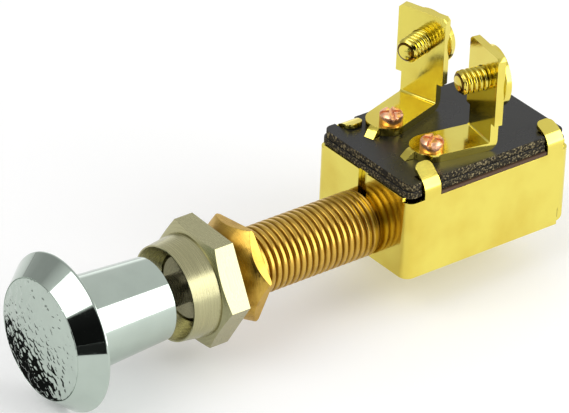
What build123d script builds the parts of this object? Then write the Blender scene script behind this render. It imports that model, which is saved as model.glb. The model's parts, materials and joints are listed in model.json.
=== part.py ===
"""Push-pull switch for a panel: a brass case, a threaded bushing and a pulled knob.

The shaft runs along Y with the knob towards -Y, the terminals stand up along +Z, and the origin is
on the shaft's axis, in the plane where the face nut seats on the front of the panel.
"""

import os
from math import asin, copysign, cos, radians, sin, sqrt, tan

from build123d import *

# Driving dimensions in millimetres, angles in degrees

# Threaded bushing
thread_r = 4.76
thread_pitch = 1.03
thread_depth = 0.42
thread_crest = 0.22
bushing_reach = 25.7
bushing_chamfer = 0.5
spigot_wall = 0.7
spigot_clearance = 0.03
lip_width = 0.35
lip_length = 0.6

# Nuts on the bushing
hex_across_flats = 15.7
back_nut_flats = 13.4
nut_clearance = 0.05
face_hex_length = 3.5
face_hex_chamfer_angle = 19.0
face_step = 0.2
collar_length = 4.05
collar_inset = 0.55
collar_taper = 0.53
recess_depth = 3.0
recess_rim = 0.2
face_nut_turn = -1.4
panel_gap = 1.6
back_nut_thickness = 3.15
back_nut_inset = 1.65
back_nut_rear_chamfer = 0.2
back_nut_turn = 8.2

# Knob
travel = 8.0
neck_gap = 2.25
neck_end_r = 5.87
neck_root_r = 6.76
neck_length = 14.5
neck_chamfer = 0.3
rim_r = 11.1
rim_edge = 0.3
bevel_length = 3.1
face_r = 8.55
dome_height = 1.1

# Shaft, its snap ring and its clip
shaft_r = 2.2
shaft_clearance = 0.05
knob_thread_step = 0.3
knob_thread_length = 8.0
knob_thread_fit = 0.02
ring_wire_r = 0.5
ring_seat_depth = 0.3
ring_clearance = 0.05
ring_lead = 3.55
ring_gap_angle = 40.0
detent_depth = 0.15
detent_width = 1.2
tail_step = 0.7
tail_clearance = 0.02
clip_groove_depth = 0.4
clip_thickness = 0.6
clip_height = 1.5
clip_gap_angle = 70.0
end_play = 0.1

# Folded case
case_width = 20.2
sheet = 0.6
corner_r = 1.4
floor_room = 0.55
flap_rise = 0.55
seam_gap = 1.8
fold_gap = 0.1
floor_bend_r = 0.9
relief_height = 2.85
relief_margin = 0.3
relief_round = 0.45

# Case tabs that hold the plates down. A fold of 90 would lie flat on the board.
tab_width = 2.8
tab_length = 5.5
front_tab_setback = 4.2
front_tab_folds = {1: 50.0, -1: 80.0}
rear_tab_folds = {1: 70.0, -1: 75.0}
tab_bend_r = 2.0
tab_end_r = 1.0
tab_clearance = 0.05

# Insulating plates
insulator_thickness = 1.05
board_thickness = 1.1
plate_side_inset = 0.55
plate_front_inset = 0.4
plate_back_inset = 0.7
plate_corner_r = 1.2
insulator_overhang = 0.2
notch_play = 1.7
notch_room = 0.3

# Case lining
liner_thickness = 0.3
liner_bend_r = 0.4
liner_clearance = 0.05
liner_setback = 1.2

# Terminals
rivet_setback = 8.0
rivet_side_inset = 5.1
rivet_shift = 0.3
terminal_sheet = 1.2
terminal_turns = {"left": 17.1, "right": -10.2}
rivet_offset = 0.93
foot_lead = 0.35
foot_length = 7.94
neck_width = 5.92
terminal_bend_r = 0.3
shoulder_height = 3.04
upright_height = 13.43
upright_width = 7.8
upright_clip = 0.45

# Lug of each terminal, bent down into a slot of the board so that the terminal can't turn
lug_width = 1.5
lug_lead = 2.78
lug_fold = 47.0
lug_bend_r = 0.2
lug_depth = 0.05
slot_clearance = 0.1

# Terminal screws
screw_r = 1.75
screw_clearance = 0.05
screw_height = 8.75
screw_reach = 3.9
screw_chamfer = 0.2
neck_relief = 0.3
neck_lead = 0.1
head_r = 4.3
head_edge = 0.9
head_height = 2.1
head_slot_width = 0.8
head_slot_depth = 0.9
seat_gap = 0.02

# Rivets
rivet_shank_r = 1.2
rivet_clearance = 0.05
rivet_head_r = 1.65
rivet_head_height = 1.6
rivet_edge = 0.35
rivet_notch_width = 0.55
rivet_notch_depth = 0.5
contact_r = 2.0
contact_thickness = 1.3
contact_edge = 0.5

# Contact carrier, bridge, stud and spring
carrier_side_gap = 0.5
carrier_lead = 2.95
carrier_length = 13.4
nose_wall = 0.78
bridge_overhang = 2.15
bridge_width = 4.0
bridge_thickness = 1.0
bridge_corner_r = 0.6
bridge_edge_r = 0.4
bridge_room = 0.75
contact_gap = 0.05
stud_r = 0.9
stud_depth = 0.9
stud_floor = 0.18
stud_head_r = 1.7
stud_head_height = 0.6
stud_clearance = 0.06
spring_r = 1.9
spring_wire_r = 0.25
spring_turns = 3
spring_pocket_r = 2.4
spring_pocket_depth = 2.3

# Radii
hex_corner_r = hex_across_flats / sqrt(3)
nut_bore_r = thread_r + nut_clearance
collar_base_r = hex_across_flats / 2 - collar_inset
collar_tip_r = collar_base_r - collar_taper
back_nut_corner_r = back_nut_flats / sqrt(3)
back_nut_face_r = back_nut_flats / 2 - back_nut_inset
bore_r = shaft_r + shaft_clearance
spigot_r = bore_r + spigot_wall
lip_r = spigot_r + lip_width
knob_thread_r = shaft_r - knob_thread_step
tail_r = shaft_r - tail_step
tail_bore_r = tail_r + tail_clearance
nose_bore_r = shaft_r + tail_clearance
ring_seat_r = shaft_r - ring_seat_depth
ring_r = ring_seat_r + ring_clearance + ring_wire_r
ring_cavity_r = ring_r + ring_wire_r + ring_clearance
tab_outer_r = tab_bend_r + sheet
terminal_outer_r = terminal_bend_r + terminal_sheet
lug_outer_r = lug_bend_r + terminal_sheet

# Lug and its slot, along the foot
lug_end = lug_lead + (terminal_sheet + lug_depth) / tan(radians(lug_fold))
slot_front = lug_end + slot_clearance
slot_length = slot_front - lug_lead + lug_outer_r * tan(radians(lug_fold / 2)) + slot_clearance

# Heights above the shaft's axis
case_bottom = -(lip_r + floor_room + sheet)
floor_top = case_bottom + sheet
liner_top = floor_top + liner_thickness
carrier_bottom = liner_top + liner_clearance
stud_bottom = tail_bore_r + stud_floor
pocket_floor = stud_bottom + stud_depth
carrier_top = pocket_floor + spring_pocket_depth
bridge_bottom = carrier_top + bridge_room
bridge_top = bridge_bottom + bridge_thickness
contact_face = bridge_top + contact_gap
flap_top = contact_face + contact_thickness
side_top = flap_top - flap_rise
insulator_top = flap_top + insulator_thickness
board_top = insulator_top + board_thickness
tab_bend_start = board_top + tab_clearance - tab_bend_r
foot_top = board_top + terminal_sheet
rivet_top = foot_top + rivet_head_height

# Places along the shaft's axis
nut_front = -(face_hex_length + collar_length)
bushing_front = nut_front + recess_depth
neck_end = nut_front - neck_gap
knob_thread_end = neck_end - knob_thread_length
head_back = neck_end - neck_length
head_face = head_back - rim_edge - bevel_length
ring_y = bushing_front + travel + ring_lead
cavity_end = ring_y + ring_wire_r + detent_width
back_nut_rear = panel_gap + back_nut_thickness
case_front = bushing_reach
inner_front = case_front + sheet
lip_end = inner_front + lip_length
nose_front = lip_end + travel + end_play
rivet_y = case_front + rivet_setback
bridge_y = rivet_y + travel
carrier_front = bridge_y - carrier_lead
carrier_back = carrier_front + carrier_length
clip_front = carrier_back + end_play / 2
tail_end = clip_front + 2 * clip_thickness
inner_back = tail_end + end_play + liner_thickness
case_back = inner_back + sheet
case_middle = (case_front + case_back) / 2
case_length = case_back - case_front
plate_front = case_front + plate_front_inset
plate_back = case_back - plate_back_inset
tab_folds = {
    case_front + front_tab_setback: front_tab_folds,
    case_back - corner_r - tab_width / 2: rear_tab_folds,
}

# Places across the case
half_width = case_width / 2
inner_half = half_width - sheet
floor_half = inner_half - fold_gap
liner_half = half_width - corner_r - liner_clearance
flap_half = half_width - corner_r
plate_half = half_width - plate_side_inset
notch_x = inner_half - notch_play
rivet_spacing = 2 * (plate_half - rivet_side_inset)
rivet_x = {"left": rivet_shift - rivet_spacing / 2, "right": rivet_shift + rivet_spacing / 2}

os.makedirs("parts", exist_ok=True)


def cap_point(radius, base, height):
    """Middle point of the arc from a dome's edge to its tip, which lies height past the base."""
    cap_r = (radius**2 + height**2) / (2 * abs(height))
    half_angle = asin(radius / cap_r) / 2
    drop = cap_r * (1 - cos(half_angle))
    return (cap_r * sin(half_angle), base + height - copysign(drop, height))


# Knob: domed face, bevelled ring and tapered neck, turned in one piece
with BuildPart() as knob:
    with BuildSketch(Plane.XY):
        with BuildLine():
            Polyline(
                (face_r, head_face),
                (rim_r, head_back - rim_edge),
                (rim_r, head_back),
                (neck_root_r, head_back),
                (neck_end_r, neck_end - neck_chamfer),
                (neck_end_r - neck_chamfer, neck_end),
                (knob_thread_r + knob_thread_fit, neck_end),
                (knob_thread_r + knob_thread_fit, knob_thread_end),
                (0, knob_thread_end),
                (0, head_face - dome_height),
            )
            ThreePointArc(
                (0, head_face - dome_height),
                cap_point(face_r, head_face, -dome_height),
                (face_r, head_face),
            )
        make_face()
    revolve(axis=Axis.Y)
knob.part.label = "knob"
export_step(knob.part, "parts/knob.step")

# Shaft: threaded front, snap-ring groove, turned-down tail with a clip groove
with BuildPart() as shaft:
    with BuildSketch(Plane.XY):
        Polygon(
            (0, knob_thread_end + end_play),
            (knob_thread_r, knob_thread_end + end_play),
            (knob_thread_r, neck_end),
            (shaft_r, neck_end),
            (shaft_r, carrier_front),
            (tail_r, carrier_front),
            (tail_r, tail_end),
            (0, tail_end),
        )
        with Locations((ring_seat_r, ring_y)):
            Rectangle(
                shaft_r,
                2 * (ring_wire_r + ring_clearance),
                align=(Align.MIN, Align.CENTER),
                mode=Mode.SUBTRACT,
            )
        with Locations((tail_r - clip_groove_depth, clip_front)):
            Rectangle(tail_r, clip_thickness, align=(Align.MIN, Align.MIN), mode=Mode.SUBTRACT)
    revolve(axis=Axis.Y)
shaft.part.label = "shaft"
export_step(shaft.part, "parts/shaft.step")

# Snap ring: a split wire ring that rides in the shaft's groove
with BuildPart() as snap_ring:
    with BuildSketch(Plane.XY):
        with Locations((ring_r, ring_y)):
            Circle(ring_wire_r)
    revolve(axis=Axis.Y, revolution_arc=360 - ring_gap_angle)
snap_ring.part.label = "snap_ring"
export_step(snap_ring.part, "parts/snap_ring.step")

# Bushing: body with ridges for its thread, ring cavity with two detent grooves, spigot and rolled lip
thread_start = bushing_front + bushing_chamfer
thread_turns = int((case_front - thread_start) / thread_pitch)
thread_outline = []
for ridge in range(thread_turns):
    ridge_y = thread_start + ridge * thread_pitch
    thread_outline += [
        (thread_r, ridge_y),
        (thread_r, ridge_y + thread_crest),
        (thread_r - thread_depth, ridge_y + (thread_pitch + thread_crest) / 2),
    ]
with BuildPart() as bushing:
    with BuildSketch(Plane.XY):
        Polygon(
            (ring_cavity_r, bushing_front),
            (thread_r - bushing_chamfer, bushing_front),
            *thread_outline,
            (thread_r, thread_start + thread_turns * thread_pitch),
            (thread_r, case_front),
            (spigot_r, case_front),
            (spigot_r, inner_front),
            (lip_r, inner_front),
            (lip_r, lip_end - lip_width / 2),
            (spigot_r, lip_end),
            (bore_r, lip_end),
            (bore_r, cavity_end),
            (ring_cavity_r, cavity_end),
        )
        with Locations((0, ring_y), (0, ring_y - travel)):
            Rectangle(2 * (ring_cavity_r + detent_depth), detent_width, mode=Mode.SUBTRACT)
    revolve(axis=Axis.Y)
bushing.part.label = "bushing"
export_step(bushing.part, "parts/bushing.step")

# Face nut: hexagon with a tapered collar and a countersunk mouth
face_shoulder_r = collar_base_r + face_step
hex_chamfer = (hex_corner_r - face_shoulder_r) * tan(radians(face_hex_chamfer_angle))
with BuildPart() as face_nut:
    with BuildSketch(Plane.XY):
        Polygon(
            (nut_bore_r, 0),
            (hex_corner_r, 0),
            (hex_corner_r, hex_chamfer - face_hex_length),
            (face_shoulder_r, -face_hex_length),
            (collar_base_r, -face_hex_length),
            (collar_tip_r, nut_front),
            (collar_tip_r - recess_rim, nut_front),
            (nut_bore_r, bushing_front),
        )
    revolve(axis=Axis.Y)
    with BuildSketch(Plane.XZ):
        RegularPolygon(hex_across_flats / 2, 6, major_radius=False, rotation=face_nut_turn)
    extrude(amount=-nut_front, mode=Mode.INTERSECT)
face_nut.part.label = "face_nut"
export_step(face_nut.part, "parts/face_nut.step")

# Back nut: thin hexagon, chamfered heavily in front and lightly behind
with BuildPart() as back_nut:
    with BuildSketch(Plane.XY):
        Polygon(
            (nut_bore_r, panel_gap),
            (back_nut_face_r, panel_gap),
            (back_nut_corner_r, panel_gap + back_nut_corner_r - back_nut_face_r),
            (back_nut_corner_r, back_nut_rear - back_nut_rear_chamfer),
            (back_nut_corner_r - back_nut_rear_chamfer, back_nut_rear),
            (nut_bore_r, back_nut_rear),
        )
    revolve(axis=Axis.Y)
    with BuildSketch(Plane.XZ.offset(-back_nut_rear)):
        RegularPolygon(back_nut_flats / 2, 6, major_radius=False, rotation=back_nut_turn)
    extrude(amount=back_nut_thickness, mode=Mode.INTERSECT)
back_nut.part.label = "back_nut"
export_step(back_nut.part, "parts/back_nut.step")

# Case: one folded sheet. The sides wrap from the back to two front flaps that meet at a seam,
# the floor folds forward from the back, and four tabs fold over the plates.
with BuildPart() as case:
    with BuildSketch(Plane.XY.offset(case_bottom)):
        with Locations((0, case_middle)):
            RectangleRounded(case_width, case_length, corner_r)
            RectangleRounded(
                2 * inner_half, case_length - 2 * sheet, corner_r - sheet, mode=Mode.SUBTRACT
            )
    extrude(amount=side_top - case_bottom)
    # The front flaps and the back rise past the sides, up to the plates
    with BuildSketch(Plane.XY.offset(side_top)):
        with Locations((0, case_front + sheet / 2), (0, case_back - sheet / 2)):
            Rectangle(2 * flap_half, sheet)
    extrude(amount=flap_rise)
    # Floor, folded forward from the back
    with BuildSketch(Plane.XY.offset(case_bottom)):
        with Locations((0, case_back)):
            Rectangle(
                2 * floor_half, case_length - sheet - fold_gap, align=(Align.CENTER, Align.MAX)
            )
    extrude(amount=sheet)
    # Reliefs that part the rear corner bends from the floor's bend
    for direction in (1, -1):
        with BuildSketch(Plane.YZ.offset(direction * floor_half)) as relief:
            with Locations((case_back - corner_r - relief_margin, case_bottom + relief_height)):
                Rectangle(2 * corner_r, 2 * relief_height, align=(Align.MIN, Align.MAX))
            fillet(relief.vertices().group_by(Axis.Y)[-1].sort_by(Axis.X)[0], relief_round)
        extrude(amount=direction * half_width, mode=Mode.SUBTRACT)
    rear_edge = case.edges().filter_by(Axis.X).group_by(Axis.Z)[0].sort_by(Axis.Y)[-1]
    fillet(rear_edge, floor_bend_r)
    # Seam between the front flaps, and the hole for the bushing's spigot
    with BuildSketch(Plane.XZ.offset(-inner_front)):
        with Locations((0, case_bottom)):
            Rectangle(seam_gap, flap_top - case_bottom, align=(Align.CENTER, Align.MIN))
        Circle(spigot_r + spigot_clearance)
    extrude(amount=sheet, mode=Mode.SUBTRACT)
    # Tabs, each folded over the plates by its own angle
    for place, folds in tab_folds.items():
        for direction, fold in folds.items():
            tab_run = tab_length - (tab_bend_start - side_top) - tab_outer_r * radians(fold)
            with BuildSketch(Plane.XZ.offset(-place - tab_width / 2)):
                with BuildLine():
                    rise = Line(
                        (direction * half_width, side_top), (direction * half_width, tab_bend_start)
                    )
                    bend = JernArc(rise @ 1, (0, 1), tab_outer_r, direction * fold)
                    Line(bend @ 1, bend @ 1 + (bend % 1) * tab_run)
                    offset(amount=sheet, side=Side.LEFT if direction > 0 else Side.RIGHT)
                make_face()
            extrude(amount=tab_width)
            through = Axis((0, 0, 0), (direction * cos(radians(fold)), 0, sin(radians(fold))))
            fillet(case.edges(Select.LAST).filter_by(through), tab_end_r)
case.part.label = "case"
export_step(case.part, "parts/case.step")


def plate_outline(overhang):
    """Rounded plate outline with a notch round each case tab and two rivet holes."""
    half = plate_half + overhang
    with Locations((0, (plate_front + plate_back) / 2)):
        RectangleRounded(2 * half, plate_back - plate_front + 2 * overhang, plate_corner_r)
    for place in tab_folds:
        with Locations((notch_x, place)):
            Rectangle(
                half, tab_width + 2 * notch_room, align=(Align.MIN, Align.CENTER), mode=Mode.SUBTRACT
            )
        with Locations((-notch_x, place)):
            Rectangle(
                half, tab_width + 2 * notch_room, align=(Align.MAX, Align.CENTER), mode=Mode.SUBTRACT
            )
    for place in rivet_x.values():
        with Locations((place, rivet_y)):
            Circle(rivet_shank_r + rivet_clearance, mode=Mode.SUBTRACT)


# Insulating plates: a lower one that rests on the case, and the terminal board above it
with BuildPart() as insulator_plate:
    with BuildSketch(Plane.XY.offset(flap_top)):
        plate_outline(insulator_overhang)
    extrude(amount=insulator_thickness)
insulator_plate.part.label = "insulator_plate"
export_step(insulator_plate.part, "parts/insulator_plate.step")

with BuildPart() as terminal_board:
    with BuildSketch(Plane.XY.offset(insulator_top)):
        plate_outline(0)
        for side, turn in terminal_turns.items():
            with Locations(Location((rivet_x[side], rivet_y), turn)):
                with Locations((-rivet_offset, -slot_front)):
                    Rectangle(
                        lug_width + 2 * slot_clearance,
                        slot_length,
                        align=(Align.CENTER, Align.MIN),
                        mode=Mode.SUBTRACT,
                    )
    extrude(amount=board_thickness)
terminal_board.part.label = "terminal_board"
export_step(terminal_board.part, "parts/terminal_board.step")

# Lining: one bent sheet over the floor and up the back
with BuildPart() as case_liner:
    with BuildSketch(Plane.YZ):
        with BuildLine():
            FilletPolyline(
                (lip_end + liner_setback, floor_top),
                (inner_back, floor_top),
                (inner_back, contact_face),
                radius=liner_bend_r,
            )
            offset(amount=liner_thickness, side=Side.LEFT)
        make_face()
    extrude(amount=liner_half, both=True)
case_liner.part.label = "case_liner"
export_step(case_liner.part, "parts/case_liner.step")

# Contact carrier: a moulded block on the shaft's tail, with a nose that stops at the bushing
with BuildPart() as contact_carrier:
    with BuildSketch(Plane.XY.offset(carrier_bottom)):
        with Locations((0, carrier_front)):
            Rectangle(
                2 * (inner_half - carrier_side_gap), carrier_length, align=(Align.CENTER, Align.MIN)
            )
    extrude(amount=carrier_top - carrier_bottom)
    with BuildSketch(Plane.XZ.offset(-carrier_front)):
        Circle(nose_bore_r + nose_wall)
        Circle(nose_bore_r, mode=Mode.SUBTRACT)
    extrude(amount=carrier_front - nose_front)
    with BuildSketch(Plane.XZ.offset(-carrier_front)):
        Circle(tail_bore_r)
    extrude(amount=-carrier_length, mode=Mode.SUBTRACT)
    with BuildSketch(Plane.XY.offset(carrier_top)):
        with Locations((0, bridge_y)):
            Circle(spring_pocket_r)
    extrude(amount=-spring_pocket_depth, mode=Mode.SUBTRACT)
    with BuildSketch(Plane.XY.offset(pocket_floor)):
        with Locations((0, bridge_y)):
            Circle(stud_r)
    extrude(amount=-stud_depth, mode=Mode.SUBTRACT)
contact_carrier.part.label = "contact_carrier"
export_step(contact_carrier.part, "parts/contact_carrier.step")

# Contact bridge: a bar that joins the two contact heads when the knob is pulled
with BuildPart() as contact_bridge:
    with BuildSketch(Plane.XY.offset(bridge_bottom)):
        with Locations((rivet_shift, bridge_y)):
            RectangleRounded(rivet_spacing + 2 * bridge_overhang, bridge_width, bridge_corner_r)
        with Locations((0, bridge_y)):
            Circle(stud_r + stud_clearance, mode=Mode.SUBTRACT)
    extrude(amount=bridge_thickness)
    fillet(contact_bridge.faces().sort_by(Axis.Z)[-1].outer_wire().edges(), bridge_edge_r)
contact_bridge.part.label = "contact_bridge"
export_step(contact_bridge.part, "parts/contact_bridge.step")

# Stud that keeps the bridge on the carrier
with BuildPart() as bridge_stud:
    with BuildSketch(Plane.XZ.offset(-bridge_y)):
        Polygon(
            (0, stud_bottom),
            (stud_r, stud_bottom),
            (stud_r, bridge_top + seat_gap),
            (stud_head_r, bridge_top + seat_gap),
            (stud_head_r, bridge_top + stud_head_height),
            (0, bridge_top + stud_head_height),
        )
    revolve(axis=Axis((0, bridge_y, 0), (0, 0, 1)))
bridge_stud.part.label = "bridge_stud"
export_step(bridge_stud.part, "parts/bridge_stud.step")

# Spring between the carrier's pocket and the bridge
spring_start = pocket_floor + seat_gap + spring_wire_r
spring_height = bridge_bottom - seat_gap - spring_wire_r - spring_start
with BuildPart() as contact_spring:
    with BuildLine(Plane((0, bridge_y, spring_start))):
        coil = Helix(spring_height / spring_turns, spring_height, spring_r)
    with BuildSketch(Plane(coil @ 0, z_dir=coil % 0)):
        Circle(spring_wire_r)
    sweep(path=coil, is_frenet=True)
contact_spring.part.label = "contact_spring"
export_step(contact_spring.part, "parts/contact_spring.step")

# Retaining clip on the shaft's tail, behind the carrier
clip_r = tail_r + clip_height
clip_mouth = clip_r * tan(radians(clip_gap_angle / 2))
with BuildPart() as retaining_clip:
    with BuildSketch(Plane.XZ.offset(-clip_front - tail_clearance)):
        Circle(clip_r)
        Circle(tail_r - clip_groove_depth + tail_clearance, mode=Mode.SUBTRACT)
        Polygon((0, 0), (-clip_mouth, -clip_r), (clip_mouth, -clip_r), mode=Mode.SUBTRACT)
    extrude(amount=2 * tail_clearance - clip_thickness)
retaining_clip.part.label = "retaining_clip"
export_step(retaining_clip.part, "parts/retaining_clip.step")

# Terminals, their screws and rivets. Each terminal is turned about its own rivet.
for side, turn in terminal_turns.items():
    across = Vector(cos(radians(turn)), sin(radians(turn)), 0)
    foot_plane = Plane(
        origin=Vector(rivet_x[side], rivet_y, board_top) - across * rivet_offset,
        x_dir=across,
        z_dir=(0, 0, 1),
    )
    edge_plane = Plane(foot_plane.origin, x_dir=foot_plane.y_dir, z_dir=foot_plane.x_dir)
    upright_plane = Plane(
        origin=foot_plane.from_local_coords((0, foot_length, terminal_sheet)),
        x_dir=foot_plane.x_dir,
        z_dir=-foot_plane.y_dir,
    )
    screw_plane = Plane(
        origin=foot_plane.from_local_coords((0, foot_length, terminal_sheet + screw_height)),
        x_dir=foot_plane.x_dir,
        z_dir=(0, 0, 1),
    )

    # Terminal: round foot with a lug, a bend, and an upright with shoulders
    with BuildPart() as terminal:
        with BuildSketch(edge_plane):
            with BuildLine():
                FilletPolyline(
                    (foot_lead, 0),
                    (foot_length + terminal_sheet, 0),
                    (foot_length + terminal_sheet, terminal_sheet + shoulder_height),
                    radius=terminal_outer_r,
                )
                offset(amount=terminal_sheet, side=Side.LEFT)
            make_face()
        extrude(amount=neck_width / 2, both=True)
        with BuildSketch(foot_plane):
            with Locations((0, foot_lead)):
                Circle(neck_width / 2)
        extrude(amount=terminal_sheet)
        with BuildSketch(edge_plane):
            with BuildLine():
                FilletPolyline(
                    (0, terminal_sheet),
                    (-lug_lead, terminal_sheet),
                    (-lug_end, -lug_depth),
                    radius=lug_outer_r,
                )
                offset(amount=terminal_sheet, side=Side.LEFT)
            make_face()
        extrude(amount=lug_width / 2, both=True)
        with BuildSketch(upright_plane) as upright:
            with Locations((0, shoulder_height)):
                Rectangle(
                    upright_width,
                    upright_height - shoulder_height,
                    align=(Align.CENTER, Align.MIN),
                )
            chamfer(upright.vertices().group_by(Axis.Y)[-1], upright_clip)
        extrude(amount=-terminal_sheet)
        with BuildSketch(foot_plane):
            with Locations((rivet_offset, 0)):
                Circle(rivet_shank_r + rivet_clearance)
        extrude(amount=terminal_sheet, mode=Mode.SUBTRACT)
        with BuildSketch(upright_plane):
            with Locations((0, screw_height)):
                Circle(screw_r + screw_clearance)
        extrude(amount=-terminal_sheet, mode=Mode.SUBTRACT)
    terminal.part.label = f"terminal_{side}"
    export_step(terminal.part, f"parts/terminal_{side}.step")

    # Terminal screw: round slotted head behind the upright, free end in front of it
    head_base = terminal_sheet + seat_gap
    head_tip = head_base + head_height
    with BuildPart() as terminal_screw:
        with BuildSketch(screw_plane):
            with BuildLine():
                Polyline(
                    (0, head_tip),
                    (0, -screw_reach),
                    (screw_r - screw_chamfer, -screw_reach),
                    (screw_r, screw_chamfer - screw_reach),
                    (screw_r, -neck_lead),
                    (screw_r - neck_relief, -neck_lead),
                    (screw_r - neck_relief, head_base),
                    (head_r, head_base),
                    (head_r, head_base + head_edge),
                )
                ThreePointArc(
                    (head_r, head_base + head_edge),
                    cap_point(head_r, head_base + head_edge, head_height - head_edge),
                    (0, head_tip),
                )
            make_face()
        revolve(axis=Axis(screw_plane.origin, screw_plane.y_dir))
        with BuildSketch(screw_plane.offset(-head_r)):
            with Locations((0, head_tip - head_slot_depth)):
                Rectangle(head_slot_width, head_height, align=(Align.CENTER, Align.MIN))
        extrude(amount=2 * head_r, mode=Mode.SUBTRACT)
    terminal_screw.part.label = f"terminal_screw_{side}"
    export_step(terminal_screw.part, f"parts/terminal_screw_{side}.step")

    # Rivet: cross-staked head on the foot, contact head under the plates
    with BuildPart() as rivet:
        with BuildSketch(Plane((rivet_x[side], rivet_y, 0), x_dir=(1, 0, 0), z_dir=(0, -1, 0))):
            Polygon(
                (0, rivet_top),
                (rivet_head_r - rivet_edge, rivet_top),
                (rivet_head_r, rivet_top - rivet_edge),
                (rivet_head_r, foot_top),
                (rivet_shank_r, foot_top),
                (rivet_shank_r, flap_top),
                (contact_r, flap_top),
                (contact_r, contact_face + contact_edge),
                (contact_r - contact_edge, contact_face),
                (0, contact_face),
            )
        revolve(axis=Axis((rivet_x[side], rivet_y, 0), (0, 0, 1)))
        with BuildSketch(Plane.XY.offset(rivet_top)):
            with Locations((rivet_x[side], rivet_y)):
                for angle in (turn + 45, turn - 45):
                    Rectangle(2 * contact_r, rivet_notch_width, rotation=angle)
        extrude(amount=-rivet_notch_depth, mode=Mode.SUBTRACT)
    rivet.part.label = f"rivet_{side}"
    export_step(rivet.part, f"parts/rivet_{side}.step")
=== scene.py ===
"""Looks of a push-pull switch: chrome knob, nuts, threaded bushing, brass case and terminals."""

import json
from math import atan2, cos, pi, radians, sin, sqrt

import bmesh
import bpy
from bpy.props import FloatProperty, FloatVectorProperty, IntProperty, PointerProperty
from bpy.types import Operator, Panel, PropertyGroup
from mathutils import Matrix, Vector, noise


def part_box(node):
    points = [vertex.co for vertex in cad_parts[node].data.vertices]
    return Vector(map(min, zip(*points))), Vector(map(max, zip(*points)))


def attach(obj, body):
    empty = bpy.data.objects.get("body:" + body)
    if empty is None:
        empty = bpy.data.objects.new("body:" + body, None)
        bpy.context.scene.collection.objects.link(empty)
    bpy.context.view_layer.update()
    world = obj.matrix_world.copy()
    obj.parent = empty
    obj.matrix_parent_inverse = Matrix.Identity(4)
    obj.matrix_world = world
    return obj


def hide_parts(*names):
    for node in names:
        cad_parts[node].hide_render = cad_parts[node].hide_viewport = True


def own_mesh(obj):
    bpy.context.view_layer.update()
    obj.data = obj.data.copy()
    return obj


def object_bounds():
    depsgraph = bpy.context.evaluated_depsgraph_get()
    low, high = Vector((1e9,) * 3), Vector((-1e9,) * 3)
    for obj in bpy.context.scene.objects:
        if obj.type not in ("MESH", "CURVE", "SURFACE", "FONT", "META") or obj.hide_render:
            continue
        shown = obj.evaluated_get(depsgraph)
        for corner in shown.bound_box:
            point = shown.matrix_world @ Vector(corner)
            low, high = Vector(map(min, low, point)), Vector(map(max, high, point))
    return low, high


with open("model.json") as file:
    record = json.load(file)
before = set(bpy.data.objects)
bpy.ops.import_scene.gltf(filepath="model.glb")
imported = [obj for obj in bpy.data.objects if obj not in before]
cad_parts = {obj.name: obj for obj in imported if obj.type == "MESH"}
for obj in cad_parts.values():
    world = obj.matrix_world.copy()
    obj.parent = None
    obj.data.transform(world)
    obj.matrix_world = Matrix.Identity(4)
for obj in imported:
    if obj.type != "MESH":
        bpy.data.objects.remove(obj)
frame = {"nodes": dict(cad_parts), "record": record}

bl_info = {
    "name": "Push-pull switch",
    "version": (1, 0, 0),
    "blender": (4, 5, 0),
    "location": "View3D > Sidebar > Switch",
    "description": "Dresses a packed push-pull switch with threads, finishes and a studio",
    "category": "Object",
}

# One millimetre, and the distance under which two points are one, both in metres
MM = 0.001
SAME_POINT = 1e-6

cad_low, cad_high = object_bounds()
knob_low, knob_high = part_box("knob")
bushing_low, bushing_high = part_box("bushing")
mounts = {mount["name"]: mount for mount in frame["record"]["mounts"]}

# Ways from the switch to the two softboxes and to the room's dark side
KEY_WAY = (0.75, 0.53, 0.37)
FRONT_WAY = (-0.03, -0.68, 0.73)
DARK_WAY = (0.60, -0.77, 0.21)
UP = Vector((0, 0, 1))

# The span that holds most values of a noise, and the shader's own strength of reflection
NOISE_SPAN = (0.3, 0.7)
PLAIN_GLOSS = 0.5

# Corners in metres of two black cards on the floor, seen only in the metal, that paint shade into
# its reflections: one lies under the knob's face as a painted shadow of the knob on the floor, the
# other on the room's dark side as a painted dark reflection
SHADE_CARDS = {
    "knob_shade": (
        (0.001, -0.0287),
        (-0.005, -0.0276),
        (-0.026, -0.0276),
        (-0.023, -0.033),
        (-0.014, -0.0355),
        (-0.004, -0.0355),
        (0.0, -0.032),
    ),
    "side_shade": ((0.039, -0.075), (0.06, -0.0535), (2.3, -1.22), (1.36, -2.25)),
}

# One turn of a thread: places along the pitch, and heights between root and crest.
# The bushing's grooves are narrow, the screws' crests are worn round.
BUSHING_TURN = (
    (0.0, 0.0),
    (0.06, 0.08),
    (0.17, 0.64),
    (0.26, 0.96),
    (0.36, 0.99),
    (0.5, 1.0),
    (0.64, 0.99),
    (0.74, 0.96),
    (0.83, 0.64),
    (0.94, 0.08),
)
SCREW_TURN = (
    (0.0, 0.0),
    (0.08, 0.04),
    (0.2, 0.62),
    (0.34, 0.96),
    (0.5, 1.0),
    (0.66, 0.96),
    (0.8, 0.62),
    (0.92, 0.04),
)


def length(name, default, text):
    """A length in millimetres that a user may change."""
    text = f"{text}, in mm"
    return FloatProperty(name=name, default=default, description=text, min=0.0, precision=3)


def number(name, default, text):
    """A plain number that a user may change."""
    return FloatProperty(name=name, default=default, description=text, min=0.0)


def count(name, default, text, least):
    """A whole number that a user may change."""
    return IntProperty(name=name, default=default, description=text, min=least)


def angle(name, default, text):
    """An angle that a user may change, given here in degrees."""
    return FloatProperty(name=name, default=radians(default), description=text, subtype="ANGLE")


def colour(name, default, text):
    """A colour that a user may change."""
    return FloatVectorProperty(
        name=name, default=default, description=text, subtype="COLOR", min=0.0, max=1.0
    )


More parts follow.
